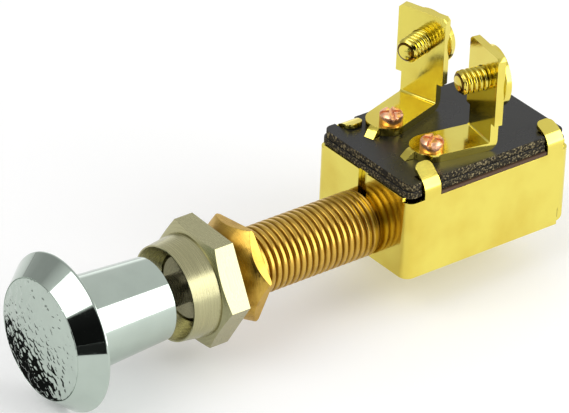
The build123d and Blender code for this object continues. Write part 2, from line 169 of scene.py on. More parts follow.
class KnobSettings(PropertyGroup):
    """Shape of the turned knob and its hammered dome"""

    bevel_length: length("Bevel", 3.1, "Length of the bevelled ring along the shaft")
    rim_edge: length("Rim edge", 0.3, "Width of the narrow rim behind the bevel")
    face_radius: length("Face radius", 8.55, "Radius of the hammered dome")
    dome_height: length("Dome height", 1.1, "Height of the dome over its edge")
    neck_root: length("Neck root", 6.76, "Radius of the neck where it meets the head")
    neck_end: length("Neck end", 5.87, "Radius of the neck at its free end")
    bore_radius: length("Bore radius", 1.92, "Radius of the hole for the shaft")
    bore_depth: length("Bore depth", 8.0, "Depth of the hole for the shaft")
    edge_round: length("Edge rounding", 0.12, "Radius of the turned edges")
    edge_groove: length("Edge groove", 0.14, "Width of the groove round the dome")
    dent_size: length("Dent size", 0.9, "Width of one hammered dent")
    dent_depth: length("Dent depth", 0.12, "Depth of the hammered dents")
    dent_reach: number("Dent reach", 0.62, "Radius of the pebble in a dent, in dent sizes")
    dent_level: number("Dent level", 0.5, "Part of the dents' depth that lies under the dome")
    dent_seed: count("Dent seed", 1, "Seed of the bend in the dents' pattern", least=1)
    bend: number("Bend", 0.35, "Strength of that bend, in dent sizes")
    bend_scale: number("Bend scale", 0.7, "Fineness of that bend")
    swell: number("Swell", 0.4, "Height of the slow swell under the dents, in dent depths")
    swell_scale: number("Swell scale", 0.45, "Fineness of the slow swell")
    edge_fade: number("Edge fade", 0.06, "Part of the radius on which the dents fade out")
    dome_rings: count("Dome rings", 110, "Rings of faces on the dome", least=8)
    segments: count("Segments", 480, "Faces round the knob", least=24)


class BushingSettings(PropertyGroup):
    """Shape of the threaded bushing"""

    pitch: length("Pitch", 1.03, "Distance between the thread's crests")
    depth: length("Depth", 0.42, "Depth of the thread")
    fade: length("Fade", 0.5, "Length on which the thread runs out at each end")
    bore: length("Bore", 2.25, "Radius of the bore")
    ring_bore: length("Ring bore", 3.15, "Radius of the snap ring's bore")
    ring_end: length("Ring bore end", 8.7, "Where the snap ring's bore ends behind the panel")
    mouth_depth: length("Mouth depth", 0.5, "How far the dished mouth goes in")
    mouth_end: length("Mouth end", 0.9, "Where the wall behind the dished mouth ends")
    # Faces in front of this carry nickel plating darkened into a painted shade of the nut's recess
    plating_and_shade_end: FloatProperty(
        name="Plated end", default=-1.0, description="Where the front end's plating ends, in mm"
    )
    spigot_wall: length("Spigot wall", 0.7, "Wall of the spigot inside the case")
    segments: count("Segments", 128, "Faces round the bushing", least=24)


class ScrewSettings(PropertyGroup):
    """Shape of the terminal screws"""

    pitch: length("Pitch", 0.79, "Distance between the thread's crests")
    depth: length("Depth", 0.36, "Depth of the thread")
    fade: length("Fade", 0.3, "Length on which the thread runs out at each end")
    reach: length("Reach", 3.9, "How far a screw stands out of its upright")
    mount_reach: length("Mount reach", 2.0, "How far a screw's mount is from its upright")
    tip_ring: length("Tip ring", 0.34, "Width of the chamfer round the free end")
    tip_chamfer: length("Tip chamfer", 0.16, "Height of the chamfer on the free end")
    strip: length("Strip", 1.2, "Thickness of the terminal strip")
    seat_gap: length("Seat gap", 0.02, "Gap under the head")
    head_radius: length("Head radius", 4.3, "Radius of the head")
    head_edge: length("Head edge", 0.9, "Straight edge of the head")
    head_height: length("Head height", 2.1, "Height of the head")
    head_round: length("Head rounding", 0.15, "Radius of the head's lower edge")
    head_rings: count("Head rings", 12, "Rings of faces on the head", least=3)
    segments: count("Segments", 64, "Faces round a screw", least=24)
    slot_width: length("Slot width", 0.8, "Width of the driver slot")
    slot_depth: length("Slot depth", 0.9, "Depth of the driver slot")


class CaseSettings(PropertyGroup):
    """Fold behind the case's seam, and brown strips under the plates that paint the shadow band
    along their edges
    """

    sheet: length("Sheet", 0.6, "Thickness of the case's sheet")
    fold_reach: length("Fold reach", 1.5, "Reach of the fold to each side of the seam")
    fold_gap: length("Fold gap", 0.03, "Gap round the fold and half the gap in its middle")
    fold_depth: length("Fold depth", 0.33, "Where the fold ends behind the front")
    fold_low: length("Fold low", 4.0, "Lower end of the fold over the shaft's axis")
    fold_high: length("Fold high", 7.9, "Upper end of the fold over the shaft's axis")
    # Brown strips in the slot under the plates: a painted shadow band
    shadow_band_inner: length("Packing inside", 9.55, "Inner side of the packing strips")
    shadow_band_outer: length("Packing outside", 10.05, "Outer side of the packing strips")
    shadow_band_front: length("Packing front", 31.4, "Front end of the packing strips")
    shadow_band_back: length("Packing back", 50.0, "Back end of the packing strips")
    shadow_band_low: length("Packing low", 7.47, "Under side of the packing strips")
    shadow_band_high: length("Packing high", 7.98, "Upper side of the packing strips")


class SpringSettings(PropertyGroup):
    """Coil under the contact bridge"""

    wire: length("Wire", 0.25, "Radius of the spring's wire")
    turns: count("Turns", 3, "Turns of the spring", least=1)
    steps: count("Steps", 48, "Faces along one turn", least=8)
    sides: count("Sides", 12, "Faces round the wire", least=3)


class EdgeSettings(PropertyGroup):
    """Rounding of the sharp edges of CAD nodes"""

    nut: length("Nut", 0.08, "Rounding of the back nut")
    sheet: length("Sheet", 0.1, "Rounding of the case and the terminals")
    rivet: length("Rivet", 0.12, "Rounding of the rivets")
    plate: length("Plate", 0.12, "Rounding of the plates")
    flat: angle("Flat", 0.5, "Faces that meet at a smaller angle are joined to one")
    sharp: angle("Sharp", 32, "Edges that turn by a larger angle are rounded")
    segments: count("Segments", 2, "Faces across a rounded edge", least=1)
    weight: count("Weight", 90, "How strongly large faces keep their shading flat", least=1)


class FinishSettings(PropertyGroup):
    """Colours of the finishes, and where the back nut is tarnished"""

    chrome: colour("Chrome", (0.46, 0.53, 0.47), "Plating of the knob")
    nickel: colour("Nickel", (0.41, 0.39, 0.22), "Plating of the face nut")
    # Nickel plating darkened into a painted shade where the bushing's end lies in the nut's recess
    painted_shade_nickel: colour("Dull nickel", (0.27, 0.255, 0.155), "End of the bushing inside the nut")
    # Brown of the strips that paint the shadow band under the plates
    packing: colour("Packing", (0.085, 0.042, 0.018), "Paper strips under the plates")
    bright_brass: colour("Bright brass", (0.79, 0.68, 0.135), "Case, terminals and screws")
    deep_brass: colour("Deep brass", (0.70, 0.54, 0.085), "Duller patches of the bright brass")
    raw_brass: colour("Raw brass", (0.58, 0.37, 0.07), "Crests of the thread and nut edges")
    dark_brass: colour("Dark brass", (0.28, 0.145, 0.016), "Tarnish in the threads and on the nut")
    # Painted shade in the screws' thread grooves and round their free ends
    groove_shade_brass: colour("Worn brass", (0.098, 0.05075, 0.0056), "Grooves and tips of the screws")
    copper: colour("Copper", (0.97, 0.54, 0.33), "Rivets and contact bridge")
    dark_copper: colour("Dark copper", (0.70, 0.27, 0.13), "Tarnish on the copper")
    fibre: colour("Fibre", (0.010, 0.010, 0.009), "Faces of the plates")
    fibre_cut: colour("Fibre edge", (0.012, 0.009, 0.004), "Cut edges of the plates")
    fibre_speck: colour("Fibre specks", (0.42, 0.34, 0.17), "Torn fibres on the cut edges")
    liner: colour("Liner", (0.34, 0.34, 0.32), "Lining sheet inside the case")
    steel: colour("Steel", (0.36, 0.35, 0.32), "Shaft, ring, spring, stud and clip")
    moulding: colour("Moulding", (0.13, 0.055, 0.03), "Contact carrier")
    nut_dark: length("Nut dark", 4.6, "Radius up to which the back nut is tarnished")
    nut_bright: length("Nut bright", 7.0, "Radius from which the back nut is bright")


class StageSettings(PropertyGroup):
    """Camera, floor and light"""

    azimuth: angle("Azimuth", 51.42, "Turn of the camera round the switch")
    elevation: angle("Elevation", 30.85, "Angle at which the camera looks down")
    roll: angle("Roll", 2.335, "Tilt of the picture")
    place: FloatVectorProperty(
        name="Camera place",
        default=(0.42067, -0.32328, 0.32834),
        subtype="TRANSLATION",
        description="Where the camera stands",
    )
    lens: length("Lens", 294.07, "Focal length of the camera")
    sensor: length("Sensor", 36.0, "Width of the camera's sensor")
    nearest: number("Nearest", 0.01, "Distance from which the camera sees, in m")
    floor: colour("Floor", (0.86, 0.86, 0.86), "Floor under the switch")
    floor_lift: number("Floor lift", 0.16, "Brightness added to the floor where it is seen")
    floor_reach: number("Floor reach", 2.5, "Half the width of the floor, in m")
    floor_gap: length("Floor gap", 0.05, "Gap between the floor and the switch")
    # Black cards seen only in the metal: painted shade in its reflections
    shade: colour("Shade", (0.012, 0.012, 0.012), "Black cards on the floor")
    shade_gloss: number("Shade gloss", 0.05, "Strength of the black cards' reflection")
    shade_lift: length("Shade lift", 0.3, "Height of the black cards over the floor")
    key_power: number("Key light", 2.2, "Power of the softbox behind on the right, in W")
    front_power: number("Front light", 1.15, "Power of the softbox in front, in W")
    front_haze: number("Front haze", 0.5, "Brightness of the room round the front softbox")
    side_wall: number("Side wall", 0.46, "Brightness of the room in front and on the left")
    back_wall: number("Back wall", 0.85, "Brightness of the room behind")
    backdrop: number("Backdrop", 0.7, "Brightness added by the low backdrop behind")
    dark_side: number("Dark side", 0.02, "Part of its brightness that the room's dark side keeps")


class Tree:
    """Short calls for building a node tree."""

    def __init__(self, tree):
        self.tree = tree

    def add(self, kind, **settings):
        """Add a node and change some of its settings."""
        node = self.tree.nodes.new(kind)
        for name, value in settings.items():
            setattr(node, name, value)
        return node

    def join(self, output, socket):
        """Lead an output to a socket."""
        self.tree.links.new(output, socket)

    def math(self, operation, *values):
        """Calculate with values, each a number or the output of a node."""
        node = self.add("ShaderNodeMath", operation=operation)
        for socket, value in zip(node.inputs, values):
            if isinstance(value, (int, float)):
                socket.default_value = value
            else:
                self.join(value, socket)
        return node.outputs["Value"]

    def remap(self, value, span=NOISE_SPAN, to=(0, 1)):
        """Carry a value over from one span to another and hold it at both ends."""
        node = self.add("ShaderNodeMapRange")
        for socket, limit in zip(node.inputs[1:5], (*span, *to)):
            socket.default_value = limit
        self.join(value, node.inputs["Value"])
        return node.outputs["Result"]

    def parts(self, vector):
        """The X, Y and Z parts of a vector."""
        node = self.add("ShaderNodeSeparateXYZ")
        self.join(vector, node.inputs["Vector"])
        return node.outputs

    def spot(self, way, centre, edge, core, outside, inside):
        """A round spot in a direction, soft between two angles in degrees."""
        node = self.add("ShaderNodeVectorMath", operation="DOT_PRODUCT")
        node.inputs[1].default_value = Vector(centre).normalized()
        self.join(way, node.inputs[0])
        span = cos(radians(edge)), cos(radians(core))
        return self.remap(node.outputs["Value"], span, to=(outside, inside))


class Finish(Tree):
    """A node material with its textures laid out in millimetres."""

    def __init__(self, name, metallic, gloss=PLAIN_GLOSS):
        self.material = bpy.data.materials.new(name)
        self.material.use_nodes = True
        super().__init__(self.material.node_tree)
        self.shader = self.tree.nodes["Principled BSDF"]
        self.shader.inputs["Metallic"].default_value = metallic
        self.shader.inputs["Specular IOR Level"].default_value = gloss
        scaled = self.add("ShaderNodeVectorMath", operation="SCALE")
        scaled.inputs["Scale"].default_value = 1 / MM
        self.join(self.add("ShaderNodeTexCoord").outputs["Object"], scaled.inputs[0])
        self.place = scaled.outputs["Vector"]

    def stretch(self, scale):
        """Coordinates that run at a pace of their own along each axis."""
        node = self.add("ShaderNodeMapping")
        node.inputs["Scale"].default_value = scale
        self.join(self.place, node.inputs["Vector"])
        return node.outputs["Vector"]

    def radius(self):
        """Distance from the Y axis."""
        x, _, z = self.parts(self.place)
        square = self.math("ADD", self.math("MULTIPLY", x, x), self.math("MULTIPLY", z, z))
        return self.math("SQRT", square)

    def marks(self, ring_scale, angle_scale, detail=4, rough=0.5):
        """Turning marks: a noise that runs in rings round the Y axis."""
        x, y, z = self.parts(self.place)
        whole = self.add("ShaderNodeCombineXYZ")
        self.join(self.math("MULTIPLY", self.radius(), ring_scale), whole.inputs["X"])
        self.join(self.math("MULTIPLY", y, ring_scale), whole.inputs["Y"])
        turn = self.math("ARCTAN2", z, x)
        self.join(self.math("MULTIPLY", turn, angle_scale), whole.inputs["Z"])
        return self.noise(1.0, detail, rough, whole.outputs["Vector"])

    def noise(self, scale, detail=3.0, rough=0.5, vector=None, distortion=0.0):
        """A cloudy pattern. A larger scale makes it finer."""
        node = self.add("ShaderNodeTexNoise")
        node.inputs["Scale"].default_value = scale
        node.inputs["Detail"].default_value = detail
        node.inputs["Roughness"].default_value = rough
        node.inputs["Distortion"].default_value = distortion
        self.join(vector or self.place, node.inputs["Vector"])
        return node.outputs["Fac"]

    def tint(self, factor, first, second):
        """Blend two colours. Each is a colour or the output of a node."""
        node = self.add("ShaderNodeMix", data_type="RGBA")
        self.join(factor, node.inputs["Factor"])
        sockets = [socket for socket in node.inputs if socket.type == "RGBA"]
        for socket, value in zip(sockets, (first, second)):
            if isinstance(value, bpy.types.NodeSocket):
                self.join(value, socket)
            else:
                socket.default_value = (*value, 1)
        return next(socket for socket in node.outputs if socket.type == "RGBA")

    def bump(self, height, strength, distance, below=None):
        """Normals of a fine relief, its distance in millimetres. It may lie on another one."""
        node = self.add("ShaderNodeBump")
        node.inputs["Strength"].default_value = strength
        node.inputs["Distance"].default_value = distance * MM
        self.join(height, node.inputs["Height"])
        if below:
            self.join(below, node.inputs["Normal"])
        return node.outputs["Normal"]

    def set(self, base, roughness, normal):
        """Lead a colour, a roughness and normals to the shader."""
        self.join(base, self.shader.inputs["Base Color"])
        self.join(roughness, self.shader.inputs["Roughness"])
        self.join(normal, self.shader.inputs["Normal"])
        return self.material


def shaded(base, factor):
    """A lighter or darker version of a colour."""
    return tuple(min(part * factor, 1) for part in base)


def chrome_finish(colours):
    """Bright plating with a faint haze and a slow ripple."""
    finish = Finish("knob_chrome", metallic=1.0)
    haze = finish.noise(scale=0.9, detail=4)
    clouds = finish.remap(finish.noise(scale=0.35), span=(0.35, 0.7))
    ripple = finish.noise(scale=0.22, detail=1)
    return finish.set(
        finish.tint(clouds, colours.chrome, shaded(colours.chrome, 0.95)),
        finish.remap(haze, span=(0.3, 0.75), to=(0.03, 0.09)),
        finish.bump(ripple, strength=0.1, distance=0.05),
    )


def nickel_finish(name, base):
    """Satin plating over fine turning marks."""
    finish = Finish(name, metallic=1.0)
    marks = finish.marks(ring_scale=7.0, angle_scale=0.7, detail=5, rough=0.7)
    return finish.set(
        finish.tint(finish.remap(marks), shaded(base, 0.82), shaded(base, 1.15)),
        finish.remap(marks, to=(0.18, 0.32)),
        finish.bump(marks, strength=0.2, distance=0.02),
    )


def bright_brass_finish(colours):
    """Bright rolled brass with a slow wave, faint scratches and duller patches."""
    finish = Finish("sheet_brass", metallic=1.0)
    patches = finish.remap(finish.noise(scale=0.12), span=(0.42, 0.75))
    scratches = finish.noise(scale=1.0, detail=4, vector=finish.stretch((9.0, 0.5, 0.9)))
    wave = finish.bump(finish.noise(scale=0.16, detail=2), strength=0.22, distance=0.06)
    return finish.set(
        finish.tint(patches, colours.bright_brass, colours.deep_brass),
        finish.remap(scratches, span=(0.3, 0.75), to=(0.08, 0.18)),
        finish.bump(scratches, strength=0.05, distance=0.01, below=wave),
    )


def raw_brass_finish(name, colours, root, crest):
    """Turned brass that is tarnished in its hollows and bright on its crests."""
    finish = Finish(name, metallic=1.0)
    marks = finish.marks(ring_scale=6.0, angle_scale=0.8)
    patches = finish.remap(finish.noise(scale=0.5, detail=4), to=(-0.25, 0.25))
    height = finish.remap(finish.radius(), span=(root, crest))
    wear_and_shade = finish.remap(finish.math("ADD", height, patches), span=(0.35, 1.0))
    return finish.set(
        finish.tint(wear_and_shade, colours.dark_brass, colours.raw_brass),
        finish.remap(marks, to=(0.24, 0.36)),
        finish.bump(marks, strength=0.3, distance=0.02),
    )


def copper_finish(colours):
    """Soft struck copper with darker spots."""
    finish = Finish("struck_copper", metallic=1.0)
    spots = finish.noise(scale=1.6, detail=5, rough=0.65)
    dark = finish.remap(spots, span=(0.5, 0.75))
    return finish.set(
        finish.tint(dark, colours.copper, colours.dark_copper),
        finish.remap(spots, to=(0.2, 0.4)),
        finish.bump(finish.noise(scale=3.0), strength=0.3, distance=0.04),
    )


def fibre_finish(name, face, cut, speck):
    """Pressed fibre board: smooth faces, torn and speckled on its cut edges."""
    edge_roughness = 0.5
    pore_height = 0.04
    finish = Finish(name, metallic=0.0, gloss=0.3)
    facing = finish.parts(finish.add("ShaderNodeNewGeometry").outputs["Normal"])["Z"]
    edge = finish.remap(finish.math("ABSOLUTE", facing), span=(0.3, 0.7), to=(1, 0))
    grain = finish.noise(scale=3.2, detail=5, rough=0.7)
    cloud = finish.noise(scale=0.25, detail=4)
    board = finish.tint(finish.remap(cloud), face, shaded(face, 1.5))
    torn = finish.tint(finish.remap(grain, span=(0.52, 0.64)), cut, speck)
    smooth = finish.remap(cloud, to=(0.22, 0.34))
    roughness = finish.math("ADD", smooth, finish.math("MULTIPLY", edge, edge_roughness))
    pores = finish.math("MULTIPLY", finish.noise(scale=9.0, detail=2), pore_height)
    height = finish.math("ADD", finish.math("MULTIPLY", edge, grain), pores)
    relief = finish.bump(height, strength=0.8, distance=0.3)
    return finish.set(finish.tint(edge, board, torn), roughness, relief)


def steel_finish(colours):
    """Plain turned steel."""
    finish = Finish("turned_steel", metallic=1.0)
    marks = finish.marks(ring_scale=5.0, angle_scale=0.5)
    return finish.set(
        finish.tint(finish.remap(marks), shaded(colours.steel, 0.75), colours.steel),
        finish.remap(marks, to=(0.2, 0.35)),
        finish.bump(marks, strength=0.25, distance=0.015),
    )


def moulding_finish(colours):
    """Moulded brown resin with a cloudy filler."""
    finish = Finish("brown_moulding", metallic=0.0)
    cloud = finish.noise(scale=0.6, detail=5, distortion=0.6)
    filler = finish.remap(cloud, span=(0.35, 0.7))
    return finish.set(
        finish.tint(filler, colours.moulding, shaded(colours.moulding, 0.5)),
        finish.remap(cloud, to=(0.32, 0.5)),
        finish.bump(finish.noise(scale=4.0), strength=0.2, distance=0.02),
    )


def paper_finish(name, base, gloss=PLAIN_GLOSS):
    """Matt paper with a faint grain, as a finish that more can be added to."""
    finish = Finish(name, metallic=0.0, gloss=gloss)
    grain = finish.noise(scale=0.4, detail=4)
    finish.set(
        finish.tint(grain, base, shaded(base, 0.985)),
        finish.remap(grain, to=(0.65, 0.75)),
        finish.bump(grain, strength=0.05, distance=0.02),
    )
    return finish


def dress(material, *names):
    """Give CAD nodes one material."""
    for name in names:
        node = frame["nodes"][name]
        node.data.materials.clear()
        node.data.materials.append(material)


def soften(edges, width, *names):
    """Round the sharp edges of CAD nodes a little, so that they catch the light."""
    for name in names:
        node = frame["nodes"][name]
        weld = node.modifiers.new("joined faces", "WELD")
        weld.merge_threshold = SAME_POINT
        whole = node.modifiers.new("whole faces", "DECIMATE")
        whole.decimate_type = "DISSOLVE"
        whole.angle_limit = edges.flat
        soft = node.modifiers.new("soft edges", "BEVEL")
        soft.width = width * MM
        soft.segments = edges.segments
        soft.limit_method = "ANGLE"
        soft.angle_limit = edges.sharp
        flats = node.modifiers.new("flat faces", "WEIGHTED_NORMAL")
        flats.mode = "FACE_AREA"
        flats.weight = edges.weight


def link_piece(name, mesh, materials, body, node=None):
    """Show a mesh as a piece that rides on a body. It may stand for a CAD node."""
    for material in materials:
        mesh.materials.append(material)
    piece = bpy.data.objects.new(name, mesh)
    bpy.context.scene.collection.objects.link(piece)
    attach(piece, body)
    if node:
        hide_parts(node)
    return piece


def finish_mesh(bm, name, sharp_angle=35, scale=1):
    """Write a bmesh to a mesh with outward normals, smooth faces and sharp creases."""
    bmesh.ops.scale(bm, vec=(scale, scale, scale), verts=bm.verts)
    bmesh.ops.remove_doubles(bm, verts=bm.verts, dist=SAME_POINT)
    bmesh.ops.recalc_face_normals(bm, faces=bm.faces)
    for face in bm.faces:
        face.smooth = True
    mesh = bpy.data.meshes.new(name)
    bm.to_mesh(mesh)
    bm.free()
    mesh.set_sharp_from_angle(angle=radians(sharp_angle))
    return mesh


def block(bm, low, high):
    """A box between two corners in millimetres, added in metres."""
    low, high = Vector(low) * MM, Vector(high) * MM
    corners = bmesh.ops.create_cube(bm, size=1)["verts"]
    bmesh.ops.scale(bm, vec=high - low, verts=corners)
    bmesh.ops.translate(bm, vec=(low + high) / 2, verts=corners)


def block_pair(name, across, along, up):
    """A mesh of two boxes, one on each side of the middle. The spans are in millimetres."""
    bm = bmesh.new()
    for side in (-1, 1):
        left, right = sorted(side * end for end in across)
        block(bm, (left, along[0], up[0]), (right, along[1], up[1]))
    return finish_mesh(bm, name)


def lathe(bm, profile, segments):
    """Turn a profile of (radius, y) points round the Y axis. A radius of zero makes a pole."""
    rings = []
    for radius, y in profile:
        if radius == 0:
            rings.append([bm.verts.new((0, y, 0))])
            continue
        ring = []
        for step in range(segments):
            turn = 2 * pi * step / segments
            ring.append(bm.verts.new((radius * cos(turn), y, radius * sin(turn))))
        rings.append(ring)
    faces = []
    for first, second in zip(rings, rings[1:]):
        for step in range(segments):
            after = (step + 1) % segments
            corners = [
                first[step % len(first)],
                first[after % len(first)],
                second[after % len(second)],
                second[step % len(second)],
            ]
            faces.append(bm.faces.new(list(dict.fromkeys(corners))))
    return rings, faces


def rounded(points, radius, steps=4, side_part=0.4, hold_part=0.2):
    """Round each inner corner of a profile with a short arc, held by a point on either side."""
    result = [points[0]]
    for before, corner, after in zip(points, points[1:], points[2:]):
        corner = Vector(corner)
        back = Vector(before) - corner
        ahead = Vector(after) - corner
        reach = min(radius, back.length * side_part, ahead.length * side_part)
        start = corner + back.normalized() * reach
        end = corner + ahead.normalized() * reach
        arc = [start + back.normalized() * reach * hold_part]
        for step in range(steps + 1):
            part = step / steps
            arc.append(start * (1 - part) ** 2 + corner * (2 * part * (1 - part)) + end * part**2)
        arc.append(end + ahead.normalized() * reach * hold_part)
        result.extend(tuple(point) for point in arc)
    result.append(points[-1])
    return result


def cap_points(radius, base, height, rings):
    """Points of a dome's arc from its tip to its edge. A negative height points to -Y."""
    cap = (radius**2 + height**2) / (2 * abs(height))
    half_angle = atan2(radius, cap - abs(height))
    way = 1 if height > 0 else -1
    points = []
    for ring in range(rings + 1):
        turn = half_angle * ring / rings
        drop = cap * (1 - cos(turn))
        points.append((cap * sin(turn), base + height - way * drop))
    return points


def wind_thread(bm, shape, crest, start, end, settings):
    """Wind a thread round the Y axis, as rows of points that follow its helix.

    Spare turns run past both ends, and their points are held in the plane of the end.
    """
    spare_turns = 3
    pitch, depth, fade = settings.pitch, settings.depth, settings.fade
    segments = settings.segments
    root = crest - depth
    turns = int((end - start) / pitch) + spare_turns
    columns = []
    for step in range(segments):
        turn = 2 * pi * step / segments
        column = []
        for winding in range(turns):
            for phase, height in shape:
                y = start + (winding + phase - step / segments) * pitch
                grown = min(max((y - start) / fade, 0), max((end - y) / fade, 0), 1)
                radius = root + depth * height * grown
                y = min(max(y, start), end)
                column.append(bm.verts.new((radius * cos(turn), y, radius * sin(turn))))
        columns.append(column)
    for step, here in enumerate(columns):
        after = columns[(step + 1) % segments]
        shift = len(shape) if step == segments - 1 else 0
        for row in range(shift, len(here) - 1):
            face = bm.faces.new(
                (here[row], here[row + 1], after[row + 1 - shift], after[row - shift])
            )
            # Faces in a thread's root take the second material, which on the screws is the painted
            # shade of their grooves
            in_root = row % len(shape) in (0, len(shape) - 1)
            face.material_index = 1 if in_root else 0


class SWITCH_OT_knob(Operator):
    """Turn the chrome knob with its hammered dome"""

    bl_idname = "switch.knob"
    bl_label = "Knob"

    def execute(self, context):
        settings = context.scene.switch_knob
        rim = knob_high.x / MM
        back = knob_high.y / MM
        face = knob_low.y / MM + settings.dome_height
        rim_front = face + settings.bevel_length
        head_back = rim_front + settings.rim_edge
        groove = settings.edge_groove
        dome_edge = settings.face_radius - groove
        dome = cap_points(dome_edge, face, -settings.dome_height, settings.dome_rings)
        turned = rounded(
            [
                dome[-1],
                (dome_edge + groove / 2, face + groove),
                (settings.face_radius, face),
                (rim, rim_front),
                (rim, head_back),
                (settings.neck_root, head_back),
                (settings.neck_end, back),
                (settings.bore_radius, back),
                (settings.bore_radius, back - settings.bore_depth),
                (0, back - settings.bore_depth),
            ],
            settings.edge_round,
        )
        bm = bmesh.new()
        rings, _ = lathe(bm, dome + turned[1:], settings.segments)
        noise.seed_set(settings.dent_seed)
        for ring in rings[: settings.dome_rings]:
            for vertex in ring:
                vertex.co.y += self.dent(vertex.co, settings)
        mesh = finish_mesh(bm, "knob_turned", sharp_angle=40, scale=MM)
        plating = chrome_finish(context.scene.switch_finish)
        link_piece("knob_turned", mesh, [plating], "plunger", "knob")
        return {"FINISHED"}

    def dent(self, place, settings):
        """Height of the hammered surface at a point of the dome, less towards its edge."""
        spread = sqrt(place.x**2 + place.z**2) / settings.face_radius
        near = Vector((place.x, place.z, 0)) / settings.dent_size
        bent = near + settings.bend * noise.noise_vector(near * settings.bend_scale)
        pebble = 1 - (noise.voronoi(bent)[0][0] / settings.dent_reach) ** 2
        swell = settings.swell * noise.noise(near * settings.swell_scale)
        fade = min((1 - spread) / settings.edge_fade, 1)
        return -settings.dent_depth * fade * (max(pebble, 0) - settings.dent_level + swell)


class SWITCH_OT_bushing(Operator):
    """Cut the thread of the bushing"""

    bl_idname = "switch.bushing"
    bl_label = "Bushing"

    def execute(self, context):
        settings = context.scene.switch_bushing
        colours = context.scene.switch_finish
        crest = bushing_high.x / MM
        root = crest - settings.depth
        front = bushing_low.y / MM
        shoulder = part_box("case")[0].y / MM
        end = bushing_high.y / MM
        bore = settings.bore
        spigot = bore + settings.spigot_wall
        bm = bmesh.new()
        wind_thread(bm, BUSHING_TURN, crest, front, shoulder, settings)
        lathe(
            bm,
            [
                (root, front),
                (bore, front + settings.mouth_depth),
                (bore, front + settings.mouth_end),
                (settings.ring_bore, front + settings.mouth_end),
                (settings.ring_bore, settings.ring_end),
                (bore, settings.ring_end),
                (bore, end),
                (spigot, end),
                (spigot, shoulder),
                (root, shoulder),
            ],
            settings.segments,
        )
        # Faces in front of the plated end take nickel darkened into a painted shade of the nut's
        # recess
        for face in bm.faces:
            face.material_index = 1 if face.calc_center_median().y < settings.plating_and_shade_end else 0
        mesh = finish_mesh(bm, "bushing_threaded", sharp_angle=60, scale=MM)
        brass = raw_brass_finish("bushing_brass", colours, root, crest)
        plating = nickel_finish("painted_shade_nickel", colours.painted_shade_nickel)
        link_piece("bushing_threaded", mesh, [brass, plating], "housing", "bushing")
        return {"FINISHED"}


class SWITCH_OT_nuts(Operator):
    """Finish the face nut and the back nut"""

    bl_idname = "switch.nuts"
    bl_label = "Nuts"

    def execute(self, context):
        colours = context.scene.switch_finish
        edges = context.scene.switch_edges
        dress(nickel_finish("satin_nickel", colours.nickel), "face_nut")
        brass = raw_brass_finish("nut_brass", colours, colours.nut_dark, colours.nut_bright)
        dress(brass, "back_nut")
        soften(edges, edges.nut, "back_nut")
        return {"FINISHED"}


class SWITCH_OT_case(Operator):
    """Finish the case and the terminals in bright brass, and add the seam's fold"""

    bl_idname = "switch.case"
    bl_label = "Case and terminals"

    def execute(self, context):
        settings = context.scene.switch_case
        edges = context.scene.switch_edges
        brass = bright_brass_finish(context.scene.switch_finish)
        sheets = ("case", "terminal_left", "terminal_right")
        dress(brass, *sheets)
        soften(edges, edges.sheet, *sheets)
        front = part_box("case")[0].y / MM + settings.sheet
        mesh = block_pair(
            "seam_fold",
            across=(settings.fold_gap, settings.fold_reach),
            along=(front + settings.fold_gap, front + settings.fold_depth),
            up=(settings.fold_low, settings.fold_high),
        )
        link_piece("seam_fold", mesh, [brass], "housing")
        return {"FINISHED"}


